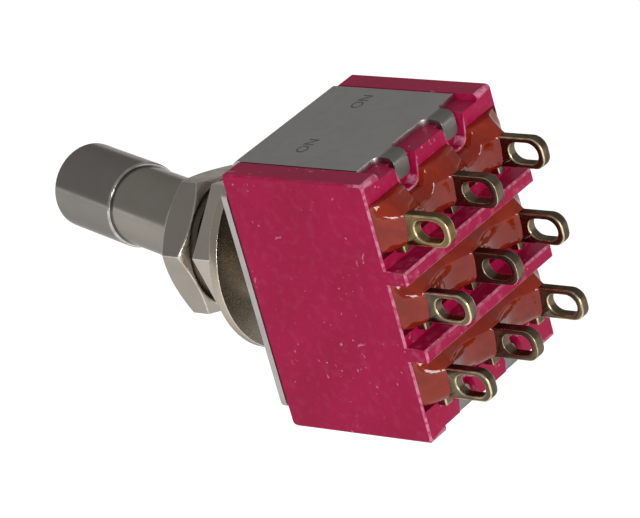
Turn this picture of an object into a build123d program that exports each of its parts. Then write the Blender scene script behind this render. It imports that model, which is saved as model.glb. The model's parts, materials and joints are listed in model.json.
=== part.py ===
from build123d import *
from math import cos, pi, radians, sin, sqrt, tan
import os

os.makedirs("parts", exist_ok=True)

# Three-pole locking toggle switch.
#
# The bushing axis is the Y axis, and the lever points toward -Y. The origin lies where that axis
# leaves the outer face of the frame plate. X is the throw of the lever, and Z is the stack of
# the three poles. Lengths are in millimetres.

# ---- running and assembly clearances ----------------------------------------------------
running_gap = 0.05
slide_gap = 0.10
contact_gap = 0.05
slot_gap = 0.05

# ---- poles and lugs ---------------------------------------------------------------------
pole_pitch = 4.90
lug_inset = 1.65
pole_levels = {"top": pole_pitch, "middle": 0.0, "bottom": -pole_pitch}

# ---- moulded case -----------------------------------------------------------------------
case_length = 12.70
case_height = 16.50
case_depth = 10.25
case_front_radius = 0.35
case_rim_radius = 0.25
case_edge = 0.12
end_wall = 0.85
well_height = 3.90
floor_thickness = 2.05
divider_depth = 3.40
rib_thickness = 0.85
rib_rise = 1.40
rib_edge = 0.12

# ---- folded frame -----------------------------------------------------------------------
plate_thickness = 0.40
shoulder_height = 14.25
shoulder_corner = 0.50
flange_width = 9.50
flange_length = 9.15
bend_inside = 0.10
recess_clearance = 0.12
claw_width = 1.25
claw_root_radius = 0.50
claw_tip_radius = 0.40
claw_reach = 1.47
claw_seat_depth = 0.70
claw_rest = 0.02

# ---- notches for the claws --------------------------------------------------------------
notch_mouth = 2.30
notch_root = 1.20
notch_depth = 2.09
notch_radius = 0.50

# ---- bushing and its hardware -----------------------------------------------------------
bushing_diameter = 6.35
bushing_length = 9.05
bushing_chamfer = 0.25
collar_diameter = 7.80
collar_thickness = 0.70
pivot_height = 5.73
ring_diameter = 12.10
ring_thickness = 0.60
ring_height = 2.45
hardware_gap = 0.025
lock_washer_diameter = 9.00
lock_washer_thickness = 0.55
lock_washer_teeth = 10
lock_washer_tooth_depth = 0.75
nut_across_flats = 8.00
nut_thickness = 2.00
nut_bevel_angle = 30.0
nut_face_inset = 0.10
nut_turn_angle = 15.4
nut_face_gap = 0.02
nut_spacing = 0.75

# ---- lever ------------------------------------------------------------------------------
lever_lean = 16.81
ball_radius = 1.95
ball_seat_angle = 45.0
stem_radius = 1.25
stem_length = 13.50
spigot_radius = 0.90
rivet_radius = 1.10
rivet_height = 0.40
arm_radius = 0.60
arm_length = 7.60
arm_tip_radius = 0.80
arm_tip_land = 0.50
arm_tip_bevel = 0.45
pin_diameter = 0.90
pin_length = 5.20

# ---- locking sleeve and cap -------------------------------------------------------------
sleeve_start = 4.35
sleeve_radius = 2.47
sleeve_edge = 0.15
grip_start = 10.50
grip_radius = 2.67
grip_end = 17.20
grip_round = 0.50
grip_edge = 0.08
grip_roof = 0.90
pocket_start = 6.00
pocket_radius = 1.85
spigot_wall = 0.35
stem_collar_radius = 1.72
stem_collar_thickness = 0.70
lock_wire = 0.24
lock_turns = 4
lock_spring_radius = 1.55

# ---- carriage and plungers --------------------------------------------------------------
carriage_end_gap = 0.20
boss_radius = 1.40
socket_depth = 1.50
plunger_radius = 0.85
plunger_body = 1.00
plunger_nose = 0.85
plunger_tip_radius = 0.30
plunger_roof = 0.35
plunger_wire = 0.18
plunger_turns = 2
plunger_spring_radius = 0.55
spring_end_gap = 0.03

# ---- rockers and terminals --------------------------------------------------------------
rocker_tilt = 8.50
rocker_thickness = 0.45
rocker_width = 2.00
rocker_overhang = 0.42
dish_half_width = 2.60
contact_radius = 0.45
bump_rise = 0.10
trunnion_radius = 0.35
pivot_above_floor = 1.90
ear_thickness = 0.50
ear_width = 2.00
ear_rim = 0.45
cradle_base = 0.50
foot_length = 1.30
foot_width = 2.60
foot_thickness = 0.60
pad_length = 0.90
pad_width = 1.60
blade_thickness = 0.65
blade_width = 1.95
blade_tip = 4.15
blade_tip_radius = 0.80
blade_hole_length = 2.00
blade_hole_width = 1.34
blade_hole_inset = 0.40
shoulder_rise = 0.65
shoulder_span = 3.10

# ---- potting ----------------------------------------------------------------------------
trough_depth = 0.50
seal_below = 1.35
seal_climb = 1.40
seal_collar = 0.08
seal_film = 0.10
seal_end_reach = 2.05
seal_valley_reach = 3.80
seal_rib_reach = 3.05
seal_notch_margin = 0.15
seal_lip = 0.12

# ---- places worked out from the sizes ---------------------------------------------------
bushing_radius = bushing_diameter / 2
front_y = plate_thickness
rim_y = front_y + case_depth
floor_y = rim_y - floor_thickness
lug_pitch = case_length / 2 - lug_inset
claw_pitch = lug_pitch
cavity_length = case_length - 2 * end_wall
cavity_height = 2 * pole_pitch + well_height
collar_end_y = front_y + collar_thickness
carriage_top_y = collar_end_y + slide_gap
divider_y = carriage_top_y + divider_depth + slide_gap
carriage_base_y = divider_y - slide_gap
ledge_y = rim_y - claw_seat_depth
side_z = case_height / 2
recess_width = flange_width + 2 * recess_clearance
recess_z = side_z - plate_thickness
bend_outside = bend_inside + plate_thickness
claw_outer_y = ledge_y + plate_thickness + claw_rest
blade_tip_y = rim_y + blade_tip

inner_nut_height = ring_height + ring_thickness + lock_washer_thickness + nut_face_gap
outer_nut_height = inner_nut_height + nut_thickness + nut_spacing - nut_face_gap
nut_bore_radius = bushing_radius + running_gap

lean = radians(lever_lean)
pivot_y = -pivot_height
carriage_offset = arm_length * sin(lean)
carriage_length = cavity_length - 2 * (carriage_offset + carriage_end_gap)
ball_seat_radius = ball_radius + running_gap
pin_slot = pin_diameter + 2 * running_gap

tilt = radians(rocker_tilt)
rocker_y = floor_y - pivot_above_floor
dish_floor = rocker_thickness
dish_slope = tilt / carriage_offset
rocker_half_length = lug_pitch + rocker_overhang
arm_level = dish_floor + dish_slope * dish_half_width**2
bump_y = rocker_thickness - arm_level - bump_rise
plunger_tip_y = rocker_y - dish_floor - contact_gap
boss_end_y = plunger_tip_y - plunger_nose
ear_outside = rocker_width / 2 + slide_gap + ear_thickness
trunnion_seat = trunnion_radius + running_gap
bump_reach = lug_pitch * sin(tilt) + bump_y * cos(tilt) + contact_radius
pad_y = rocker_y + bump_reach + contact_gap


# ---- planes and axes --------------------------------------------------------------------
def across(y):
    """Plane across the bushing axis at depth y, facing the lever (-Y); its axes are X and Z."""
    return Plane.XZ.offset(-y)


bushing_plane = Plane(origin=(0, 0, 0), x_dir=(0, -1, 0), z_dir=(0, 0, 1))
lever_direction = (-sin(lean), -cos(lean), 0)
lever_pivot = (0, pivot_y, 0)
lever_plane = Plane(origin=lever_pivot, x_dir=lever_direction, z_dir=(0, 0, 1))
lever_axis = Axis(lever_pivot, lever_direction)


def throw_plane(x, y, z, turn=0.0):
    """Plane of the lever's throw through a point, with its first axis turned from +X."""
    direction = (cos(radians(turn)), sin(radians(turn)), 0)
    return Plane(origin=(x, y, z), x_dir=direction, z_dir=(0, 0, 1))


# ---- shared outlines --------------------------------------------------------------------
with BuildSketch() as claw_notches:
    for side in (-1, 1):
        with Locations(*[(place * claw_pitch / 2, side * side_z) for place in (-1, 1)]):
            Polygon(
                (-notch_mouth / 2, 0),
                (notch_mouth / 2, 0),
                (notch_root / 2, -side * notch_depth),
                (-notch_root / 2, -side * notch_depth),
                align=None,
            )
    fillet(
        claw_notches.vertices().filter_by(lambda v: abs(v.Y) < side_z - notch_depth / 2),
        radius=notch_radius,
    )

notch_margins = offset(claw_notches.sketch, amount=seal_notch_margin)
seal_above = (pole_pitch - rib_thickness) / 2
seal_centre = (seal_above - seal_below) / 2

seal_plans = {}
for pole, level in pole_levels.items():
    with BuildSketch() as seal_plan:
        with Locations((0, level + seal_centre)):
            Rectangle(case_length - 2 * seal_lip, seal_above + seal_below)
        add(notch_margins, mode=Mode.SUBTRACT)
    seal_plans[pole] = seal_plan.sketch


# ---- case -------------------------------------------------------------------------------
with BuildPart() as case:
    with BuildSketch(Plane.YZ) as case_section:
        with Locations(((front_y + rim_y) / 2, 0)):
            Rectangle(case_depth, case_height)
        section_corners = case_section.vertices().group_by(Axis.X)
        fillet(section_corners[0], radius=case_front_radius)
        fillet(case_section.vertices().group_by(Axis.X)[-1], radius=case_rim_radius)
    extrude(amount=case_length / 2, both=True)
    end_faces = case.faces().sort_by(Axis.X)
    chamfer(end_faces[0].edges() + end_faces[-1].edges(), length=case_edge)

    # barrier ribs between the poles
    with BuildSketch(across(rim_y + rib_rise)):
        with GridLocations(0, pole_pitch, 1, 2):
            Rectangle(case_length, rib_thickness)
    extrude(amount=rib_rise + case_rim_radius)
    rib_tops = case.faces().group_by(Axis.Y)[-1]
    chamfer(rib_tops.edges(), length=rib_edge)

    # recesses in the sides for the frame's flanges
    with BuildSketch(across(rim_y)):
        for side in (-1, 1):
            with Locations((0, side * side_z)):
                Rectangle(recess_width, 2 * plate_thickness)
    extrude(amount=case_depth, mode=Mode.SUBTRACT)

    # notches in the rim for the claws
    with BuildSketch(across(rim_y)):
        add(claw_notches.sketch)
    extrude(amount=claw_seat_depth, mode=Mode.SUBTRACT)

    # one front cavity for the carriage, then a well for each rocker
    with BuildSketch(across(divider_y)):
        Rectangle(cavity_length, cavity_height)
    extrude(amount=divider_y - front_y, mode=Mode.SUBTRACT)
    with BuildSketch(across(floor_y)):
        with GridLocations(0, pole_pitch, 1, len(pole_levels)):
            Rectangle(cavity_length, well_height)
    extrude(amount=floor_y - divider_y, mode=Mode.SUBTRACT)

    # slots for the terminals, and troughs for the potting round them
    with BuildSketch(across(rim_y)):
        with GridLocations(lug_pitch, pole_pitch, 3, len(pole_levels)):
            Rectangle(blade_thickness + 2 * slot_gap, blade_width + 2 * slot_gap)
    extrude(amount=floor_thickness, mode=Mode.SUBTRACT)
    with BuildSketch(across(rim_y)):
        for plan in seal_plans.values():
            add(plan)
    extrude(amount=trough_depth, mode=Mode.SUBTRACT)


# ---- folded frame -----------------------------------------------------------------------
with BuildPart() as frame_bracket:
    # one strip folded into a U, with the curl of the claws at both ends
    with BuildSketch(Plane.YZ) as strip:
        with Locations((claw_outer_y / 2, 0)):
            Rectangle(claw_outer_y, case_height)
        fillet(strip.vertices(), radius=bend_outside)
        with BuildSketch(mode=Mode.PRIVATE) as inside:
            with Locations(((plate_thickness + claw_outer_y - plate_thickness) / 2, 0)):
                Rectangle(claw_outer_y - 2 * plate_thickness, 2 * recess_z)
            fillet(inside.vertices(), radius=bend_inside)
        add(inside.sketch, mode=Mode.SUBTRACT)
        with Locations((claw_outer_y, 0)):
            Rectangle(4 * plate_thickness, 2 * (side_z - claw_reach), mode=Mode.SUBTRACT)
    extrude(amount=flange_width / 2, both=True)

    # the flanges end between the claws
    with BuildSketch(Plane.XY) as gaps:
        with Locations((0, (flange_length + claw_outer_y) / 2)):
            Rectangle(flange_width, claw_outer_y - flange_length)
        with Locations(*[(place * claw_pitch / 2, claw_outer_y) for place in (-1, 1)]):
            Rectangle(
                claw_width, 2 * (claw_outer_y - flange_length), mode=Mode.SUBTRACT
            )
        roots = gaps.vertices().filter_by(
            lambda v: abs(v.Y - flange_length) < 1e-4 and abs(v.X) < flange_width / 2 - 1e-4
        )
        fillet(roots, radius=claw_root_radius)
    extrude(amount=side_z, both=True, mode=Mode.SUBTRACT)
    claw_tips = frame_bracket.edges().filter_by(Axis.Y).filter_by(
        lambda e: abs(e.center().Z) < side_z - claw_reach / 2
    )
    fillet(claw_tips, radius=claw_tip_radius)

    # the plate's shoulders reach over the ends of the case
    with BuildSketch(across(plate_thickness)) as shoulders:
        Rectangle(case_length, shoulder_height)
        fillet(shoulders.vertices(), radius=shoulder_corner)
    extrude(amount=plate_thickness)
    with BuildSketch(across(plate_thickness)):
        Circle(bushing_radius)
    extrude(amount=plate_thickness, mode=Mode.SUBTRACT)


# ---- bushing and its hardware -----------------------------------------------------------
# The ball seats on a cone that touches it at the seat angle. The neck over it lies where this
# cone meets the one that the stem sweeps.
sweep_slope = tan(lean)
stem_reach = stem_radius / cos(lean) + slide_gap
seat_angle = radians(ball_seat_angle)
seat_rise = ball_seat_radius * (1 - sin(seat_angle)) / cos(seat_angle)
neck_rise = (ball_seat_radius - stem_reach * sin(seat_angle)) / (
    cos(seat_angle) + sweep_slope * sin(seat_angle)
)
neck_radius = stem_reach + neck_rise * sweep_slope
mouth_radius = stem_reach + (bushing_length - pivot_height) * sweep_slope

# The throat is the cone that the arm sweeps, down to the collar's inner face.
throat_radius = (
    (pivot_height + collar_end_y) * sweep_slope + arm_radius / cos(lean) + slide_gap
)
throat_rise = (throat_radius - ball_seat_radius) / sweep_slope

with BuildPart() as bushing:
    with BuildSketch(bushing_plane) as bushing_section:
        with BuildLine():
            Polyline(
                (-collar_end_y, throat_radius),
                (-collar_end_y, collar_diameter / 2),
                (-plate_thickness, collar_diameter / 2),
                (-plate_thickness, bushing_radius),
                (bushing_length - bushing_chamfer, bushing_radius),
                (bushing_length, bushing_radius - bushing_chamfer),
                (bushing_length, mouth_radius),
                (pivot_height + neck_rise, neck_radius),
                (pivot_height + seat_rise, ball_seat_radius),
                (throat_rise - collar_end_y, ball_seat_radius),
                close=True,
            )
        make_face()
    revolve(axis=Axis((0, 0, 0), (0, -1, 0)))

    # two grooves that the cross pin is slid up from the case side
    with BuildSketch(across(collar_end_y)):
        Rectangle(pin_slot, pin_length + 2 * slide_gap)
    extrude(amount=collar_end_y + pivot_height, mode=Mode.SUBTRACT)
    with BuildSketch(Plane.XY):
        with Locations((0, pivot_y)):
            Circle(pin_slot / 2)
    extrude(amount=pin_length / 2 + slide_gap, both=True, mode=Mode.SUBTRACT)

with BuildPart() as locating_ring:
    with BuildSketch(across(-ring_height)):
        Circle(ring_diameter / 2)
        Circle(bushing_radius + hardware_gap, mode=Mode.SUBTRACT)
    extrude(amount=ring_thickness)

with BuildPart() as lock_washer:
    with BuildSketch(across(-ring_height - ring_thickness)) as washer_plan:
        Circle(lock_washer_diameter / 2)
        Circle(bushing_radius + hardware_gap, mode=Mode.SUBTRACT)
        with PolarLocations(lock_washer_diameter / 2, lock_washer_teeth):
            RegularPolygon(lock_washer_tooth_depth, 3, rotation=180, mode=Mode.SUBTRACT)
    extrude(amount=lock_washer_thickness)


def hex_nut(height, case_bevel, lever_bevel):
    """Hex nut on the bushing, its lower face at a height above the plate.

    The bevels say whether the corners are turned off at the case face and the lever face.
    """
    corner_radius = nut_across_flats / 2 / cos(pi / 6)
    turned_radius = nut_across_flats / 2 - nut_face_inset
    bevel = (corner_radius - turned_radius) * tan(radians(nut_bevel_angle))
    top = height + nut_thickness
    outline = [(height, 0)]
    if case_bevel:
        outline += [(height, turned_radius), (height + bevel, corner_radius)]
    else:
        outline += [(height, corner_radius)]
    if lever_bevel:
        outline += [(top - bevel, corner_radius), (top, turned_radius)]
    else:
        outline += [(top, corner_radius)]
    outline += [(top, 0)]
    with BuildPart() as nut:
        with BuildSketch(across(-height)):
            RegularPolygon(corner_radius, 6, rotation=nut_turn_angle)
            Circle(nut_bore_radius, mode=Mode.SUBTRACT)
        extrude(amount=nut_thickness)
        with BuildSketch(bushing_plane):
            with BuildLine():
                Polyline(*outline, close=True)
            make_face()
        revolve(axis=Axis((0, 0, 0), (0, -1, 0)), mode=Mode.INTERSECT)
    return nut.part


inner_nut = hex_nut(inner_nut_height, case_bevel=True, lever_bevel=False)
outer_nut = hex_nut(outer_nut_height, case_bevel=True, lever_bevel=True)


# ---- lever, turned in one piece from the arm's tip to the riveted end -------------------
with BuildPart() as lever:
    with BuildSketch(lever_plane):
        with BuildLine():
            ball_arm = -sqrt(ball_radius**2 - arm_radius**2)
            ball_stem = sqrt(ball_radius**2 - stem_radius**2)
            Polyline(
                (-arm_length - arm_tip_land / 2 - arm_tip_bevel, 0),
                (-arm_length - arm_tip_land / 2 - arm_tip_bevel, arm_tip_radius - arm_tip_bevel),
                (-arm_length - arm_tip_land / 2, arm_tip_radius),
                (-arm_length + arm_tip_land / 2, arm_tip_radius),
                (-arm_length + arm_tip_land / 2 + arm_tip_radius - arm_radius, arm_radius),
                (ball_arm, arm_radius),
            )
            ThreePointArc((ball_arm, arm_radius), (0, ball_radius), (ball_stem, stem_radius))
            Polyline(
                (ball_stem, stem_radius),
                (stem_length, stem_radius),
                (stem_length, spigot_radius),
                (stem_length + stem_collar_thickness, spigot_radius),
                (stem_length + stem_collar_thickness, rivet_radius),
                (stem_length + stem_collar_thickness + rivet_height, spigot_radius),
                (stem_length + stem_collar_thickness + rivet_height, 0),
                (-arm_length - arm_tip_land / 2 - arm_tip_bevel, 0),
            )
        make_face()
    revolve(axis=lever_axis)
    with BuildSketch(Plane.XY):
        with Locations((0, pivot_y)):
            Circle(pin_diameter / 2)
    extrude(amount=ball_radius, both=True, mode=Mode.SUBTRACT)

with BuildPart() as lever_pin:
    with BuildSketch(Plane.XY):
        with Locations((0, pivot_y)):
            Circle(pin_diameter / 2)
    extrude(amount=pin_length / 2, both=True)

with BuildPart() as stem_collar:
    with BuildSketch(lever_plane):
        with Locations((stem_length, spigot_radius)):
            Rectangle(
                stem_collar_thickness,
                stem_collar_radius - spigot_radius,
                align=(Align.MIN, Align.MIN),
            )
    revolve(axis=lever_axis)


# ---- locking sleeve, cap and spring -----------------------------------------------------
cap_bore_radius = pocket_radius + spigot_wall
sleeve_end = grip_end - grip_roof

with BuildPart() as lock_sleeve:
    with BuildSketch(lever_plane):
        with BuildLine():
            Polyline(
                (sleeve_start, stem_radius + running_gap),
                (sleeve_start, sleeve_radius - sleeve_edge),
                (sleeve_start + sleeve_edge, sleeve_radius),
                (grip_start, sleeve_radius),
                (grip_start, cap_bore_radius),
                (sleeve_end, cap_bore_radius),
                (sleeve_end, pocket_radius),
                (pocket_start, pocket_radius),
                (pocket_start, stem_radius + running_gap),
                close=True,
            )
        make_face()
    revolve(axis=lever_axis)

with BuildPart() as lock_cap:
    with BuildSketch(lever_plane) as cap_section:
        with BuildLine():
            Polyline(
                (grip_start, cap_bore_radius),
                (grip_start, grip_radius - grip_edge),
                (grip_start + grip_edge, grip_radius),
                (grip_end - grip_round, grip_radius),
            )
            RadiusArc(
                (grip_end - grip_round, grip_radius),
                (grip_end, grip_radius - grip_round),
                -grip_round,
            )
            Polyline(
                (grip_end, grip_radius - grip_round),
                (grip_end, 0),
                (sleeve_end, 0),
                (sleeve_end, cap_bore_radius),
                (grip_start, cap_bore_radius),
            )
        make_face()
    revolve(axis=lever_axis)


def coil_spring(start, direction, length, radius, wire, turns):
    """Coil spring of square wire that fills a length along a direction from its start."""
    rise = length - wire
    first = Vector(*start) + Vector(*direction) * (wire / 2)
    with BuildPart() as spring:
        with BuildLine() as coil:
            Helix(
                pitch=rise / turns, height=rise, radius=radius, center=first, direction=direction
            )
        with BuildSketch(Plane(origin=coil.line @ 0, x_dir=direction, z_dir=coil.line % 0)):
            Rectangle(wire, wire)
        sweep()
    return spring.part


spring_start = pocket_start + spring_end_gap
lock_spring = coil_spring(
    Vector(*lever_pivot) + Vector(*lever_direction) * spring_start,
    lever_direction,
    stem_length - spring_end_gap - spring_start,
    lock_spring_radius,
    lock_wire,
    lock_turns,
)


# ---- carriage, moulded round the sockets of the lever's arm and the plungers ------------
plunger_roof_y = carriage_top_y + socket_depth + plunger_roof
plunger_top_y = plunger_tip_y - plunger_nose - plunger_body

with BuildPart() as carriage:
    with BuildSketch(across(carriage_base_y)):
        with Locations((carriage_offset, 0)):
            Rectangle(carriage_length, cavity_height - 2 * slide_gap)
    extrude(amount=carriage_base_y - carriage_top_y)
    with BuildSketch(across(boss_end_y)):
        with Locations((carriage_offset, 0)):
            with GridLocations(0, pole_pitch, 1, len(pole_levels)):
                Circle(boss_radius)
    extrude(amount=boss_end_y - carriage_base_y)
    with BuildSketch(across(boss_end_y)):
        with Locations((carriage_offset, 0)):
            with GridLocations(0, pole_pitch, 1, len(pole_levels)):
                Circle(plunger_radius + running_gap)
    extrude(amount=boss_end_y - plunger_roof_y, mode=Mode.SUBTRACT)
    with BuildSketch(across(carriage_top_y + socket_depth)):
        with Locations((carriage_offset, 0)):
            Circle(arm_tip_radius + slide_gap)
    extrude(amount=socket_depth, mode=Mode.SUBTRACT)


def plunger(level):
    """Round-nosed plunger that one pole's spring presses toward the rocker."""
    with BuildPart() as part:
        with BuildSketch(throw_plane(carriage_offset, 0, level)):
            with BuildLine():
                Polyline(
                    (0, plunger_tip_y),
                    (0, plunger_top_y),
                    (plunger_radius, plunger_top_y),
                    (plunger_radius, plunger_tip_y - plunger_nose),
                    (plunger_tip_radius, plunger_tip_y),
                    close=True,
                )
            make_face()
        revolve(axis=Axis((carriage_offset, 0, level), (0, 1, 0)))
    return part.part


# ---- rockers and terminals --------------------------------------------------------------
def rocker(level):
    """Rocking contact of one pole: a dished strip on two trunnions, with a bump at each end."""
    dish_edge = -dish_floor - dish_slope * dish_half_width**2
    t = rocker_thickness
    with BuildPart() as part:
        plane = throw_plane(0, rocker_y, level, turn=rocker_tilt)
        with BuildSketch(plane):
            with BuildLine():
                ThreePointArc(
                    (-dish_half_width, dish_edge), (0, -dish_floor), (dish_half_width, dish_edge)
                )
                Polyline(
                    (dish_half_width, dish_edge),
                    (rocker_half_length, dish_edge),
                    (rocker_half_length, dish_edge + t),
                    (dish_half_width, dish_edge + t),
                )
                ThreePointArc(
                    (dish_half_width, dish_edge + t),
                    (0, t - dish_floor),
                    (-dish_half_width, dish_edge + t),
                )
                Polyline(
                    (-dish_half_width, dish_edge + t),
                    (-rocker_half_length, dish_edge + t),
                    (-rocker_half_length, dish_edge),
                    (-dish_half_width, dish_edge),
                )
            make_face()
            with Locations((-lug_pitch, bump_y), (lug_pitch, bump_y)):
                Circle(contact_radius)
        extrude(amount=rocker_width / 2, both=True)
        with BuildSketch(plane):
            Circle(trunnion_radius)
        extrude(amount=ear_outside, both=True)
    return part.part


def blade(x, level):
    """Outline of a lug's blade in the plane of the lug: tip, hole and shoulders."""
    with BuildSketch(Plane.YZ.offset(x)) as outline:
        with Locations(((floor_y + blade_tip_y) / 2, level)):
            Rectangle(blade_tip_y - floor_y, blade_width)
        fillet(outline.vertices().group_by(Axis.X)[-1], radius=blade_tip_radius)
        with Locations((rim_y + shoulder_rise / 2, level)):
            Rectangle(shoulder_rise, shoulder_span)
        hole_y = blade_tip_y - blade_hole_inset - blade_hole_length / 2
        with Locations((hole_y, level)):
            SlotOverall(blade_hole_length, blade_hole_width, mode=Mode.SUBTRACT)
    return outline.sketch


def end_terminal(x, level):
    """Throw terminal: a blade through the floor, a foot in the well and a contact pad."""
    with BuildPart() as terminal:
        extrude(blade(x, level), amount=blade_thickness / 2, both=True)
        with BuildSketch(across(floor_y)):
            with Locations((x, level)):
                Rectangle(foot_length, foot_width)
        extrude(amount=foot_thickness)
        with BuildSketch(across(floor_y)):
            with Locations((x, level)):
                Rectangle(pad_length, pad_width)
        extrude(amount=floor_y - pad_y)
    return terminal.part


def common_terminal(level):
    """Common terminal: a blade through the floor under a cradle with two notched ears."""
    with BuildPart() as terminal:
        extrude(blade(0, level), amount=blade_thickness / 2, both=True)
        with BuildSketch(across(floor_y)):
            with Locations((0, level)):
                Rectangle(ear_width, 2 * ear_outside)
        extrude(amount=cradle_base)
        for side in (-1, 1):
            middle = level + side * (ear_outside - ear_thickness / 2)
            with BuildSketch(Plane.XY.offset(middle)):
                with BuildLine():
                    Polyline(
                        (-ear_width / 2, floor_y),
                        (ear_width / 2, floor_y),
                        (trunnion_seat + ear_rim, rocker_y - trunnion_seat),
                        (-trunnion_seat - ear_rim, rocker_y - trunnion_seat),
                        close=True,
                    )
                make_face()
                with Locations((0, rocker_y)):
                    Circle(trunnion_seat, mode=Mode.SUBTRACT)
                with Locations((0, rocker_y - trunnion_seat / 2)):
                    Rectangle(2 * trunnion_seat, trunnion_seat, mode=Mode.SUBTRACT)
            extrude(amount=ear_thickness / 2, both=True)
    return terminal.part


def seal(pole, level, terminals):
    """Potting of one pole: a mound climbs each lug, and the mounds meet in valleys between."""
    with BuildPart() as potting:
        with BuildSketch(across(rim_y + seal_film)):
            add(seal_plans[pole])
        extrude(amount=seal_film + trough_depth)
        for place in (-1, 0, 1):
            x = place * lug_pitch
            left = seal_end_reach if place < 0 else seal_valley_reach
            right = seal_end_reach if place > 0 else seal_valley_reach
            with BuildSketch(across(rim_y)):
                with Locations((x + (right - left) / 2, level + (seal_rib_reach - seal_below) / 2)):
                    Rectangle(left + right, seal_rib_reach + seal_below)
            with BuildSketch(across(rim_y + seal_climb)):
                with Locations((x, level)):
                    Rectangle(blade_thickness + 2 * seal_collar, blade_width + 2 * seal_collar)
            loft(ruled=True)
        with BuildSketch(across(rim_y + seal_climb)):
            add(seal_plans[pole])
        extrude(amount=seal_climb + trough_depth, mode=Mode.INTERSECT)
        for terminal in terminals:
            add(terminal, mode=Mode.SUBTRACT)
    return potting.part


pieces = {
    "case": case.part,
    "frame_bracket": frame_bracket.part,
    "bushing": bushing.part,
    "locating_ring": locating_ring.part,
    "lock_washer": lock_washer.part,
    "inner_nut": inner_nut,
    "outer_nut": outer_nut,
    "lever": lever.part,
    "lever_pin": lever_pin.part,
    "stem_collar": stem_collar.part,
    "lock_sleeve": lock_sleeve.part,
    "lock_cap": lock_cap.part,
    "lock_spring": lock_spring,
    "carriage": carriage.part,
}
for pole, level in pole_levels.items():
    pole_terminals = {
        f"terminal_{pole}_far": end_terminal(-lug_pitch, level),
        f"terminal_{pole}_common": common_terminal(level),
        f"terminal_{pole}_near": end_terminal(lug_pitch, level),
    }
    pieces |= pole_terminals
    pieces[f"seal_{pole}"] = seal(pole, level, pole_terminals.values())
    pieces[f"rocker_{pole}"] = rocker(level)
    pieces[f"plunger_{pole}"] = plunger(level)
    pieces[f"plunger_spring_{pole}"] = coil_spring(
        (carriage_offset, plunger_roof_y + spring_end_gap, level),
        (0, 1, 0),
        plunger_top_y - plunger_roof_y - 2 * spring_end_gap,
        plunger_spring_radius,
        plunger_wire,
        plunger_turns,
    )

for node, solid in pieces.items():
    solid.label = node
    export_step(solid, f"parts/{node}.step")
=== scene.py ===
import json
import logging
from abc import ABC, abstractmethod
from dataclasses import dataclass
from enum import Enum, IntEnum
from math import cos, exp, log as natural_log, pi, radians, sin, sqrt

import bmesh
import bpy
from mathutils import Matrix, Vector, noise


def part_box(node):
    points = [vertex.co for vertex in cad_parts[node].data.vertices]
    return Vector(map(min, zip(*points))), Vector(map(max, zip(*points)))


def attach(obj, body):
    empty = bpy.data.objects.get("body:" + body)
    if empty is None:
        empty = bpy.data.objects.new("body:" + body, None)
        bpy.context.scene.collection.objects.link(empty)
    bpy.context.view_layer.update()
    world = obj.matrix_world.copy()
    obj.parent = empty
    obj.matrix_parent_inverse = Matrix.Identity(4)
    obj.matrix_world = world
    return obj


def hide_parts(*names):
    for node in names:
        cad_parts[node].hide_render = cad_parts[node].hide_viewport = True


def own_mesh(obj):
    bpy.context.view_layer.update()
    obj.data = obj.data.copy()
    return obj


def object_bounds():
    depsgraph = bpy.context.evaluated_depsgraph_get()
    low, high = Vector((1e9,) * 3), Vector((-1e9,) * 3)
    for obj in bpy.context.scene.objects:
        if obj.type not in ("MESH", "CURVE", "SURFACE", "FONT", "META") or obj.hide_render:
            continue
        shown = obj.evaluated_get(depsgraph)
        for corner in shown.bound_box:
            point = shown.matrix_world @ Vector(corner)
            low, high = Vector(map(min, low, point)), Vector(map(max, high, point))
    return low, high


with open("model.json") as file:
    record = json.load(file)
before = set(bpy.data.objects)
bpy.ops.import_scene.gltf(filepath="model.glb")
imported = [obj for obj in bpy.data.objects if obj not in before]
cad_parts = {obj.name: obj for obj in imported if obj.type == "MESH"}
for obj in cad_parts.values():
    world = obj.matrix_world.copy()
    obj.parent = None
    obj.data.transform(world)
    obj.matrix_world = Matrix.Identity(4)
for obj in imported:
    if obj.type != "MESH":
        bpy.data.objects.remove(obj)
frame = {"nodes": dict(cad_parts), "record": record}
CAD_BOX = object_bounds()
MM = 0.001
log = logging.getLogger("toggle_switch")

# CAD corners nearer than this are one corner, and faces within this angle are one face.
WELD = 0.0005 * MM
FLAT = radians(0.5)
# Values of a noise texture between which its clouds begin and end.
WIDE_CLOUD = (0.3, 0.7)
NARROW_CLOUD = (0.35, 0.65)
# Sockets of a Mix node that is set to colours.
MIX_FIRST, MIX_SECOND, MIX_RESULT = 6, 7, 2
# Angle in degrees over which an eased piece's edges are sharp.
EASED_ANGLE = 40.0
# How strongly an eased edge takes the edge colour along its borders, where 1 is its middle:
# rubbed wear, and on metal painted glints.
BORDER_RUB = 0.45


# ---- names and small values --------------------------------------------------------------
class Pole(Enum):
    """The three poles, from the lettered flange down."""

    TOP = "top"
    MIDDLE = "middle"
    BOTTOM = "bottom"


class Station(Enum):
    """A lug's place along the throw."""

    FAR = "far"
    COMMON = "common"
    NEAR = "near"


class Area(IntEnum):
    """What a face of a piece being eased belongs to, kept as its material index."""

    PLAIN = 0
    EDGE = 1


class Strip(Enum):
    """The parts of the potting's cross-section, from the trough to the rib."""

    FACE = "face"
    TOP = "top"
    LIP = "lip"


@dataclass(frozen=True)
class Tone:
    """A linear colour.

    Args:
        red: Red, from 0 to 1.
        green: Green, from 0 to 1.
        blue: Blue, from 0 to 1.
    """

    red: float
    green: float
    blue: float

    def rgba(self) -> tuple[float, float, float, float]:
        """The colour with full alpha, as a socket takes it."""
        return (self.red, self.green, self.blue, 1.0)


def body_of(node: str) -> str:
    """The body that a CAD node rides on."""
    bodies = frame["record"]["behaviour"]["bodies"]
    return next(body for body, members in bodies.items() if node in members)


def clamped(value: float) -> float:
    """The value kept between 0 and 1."""
    return min(max(value, 0.0), 1.0)


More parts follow.
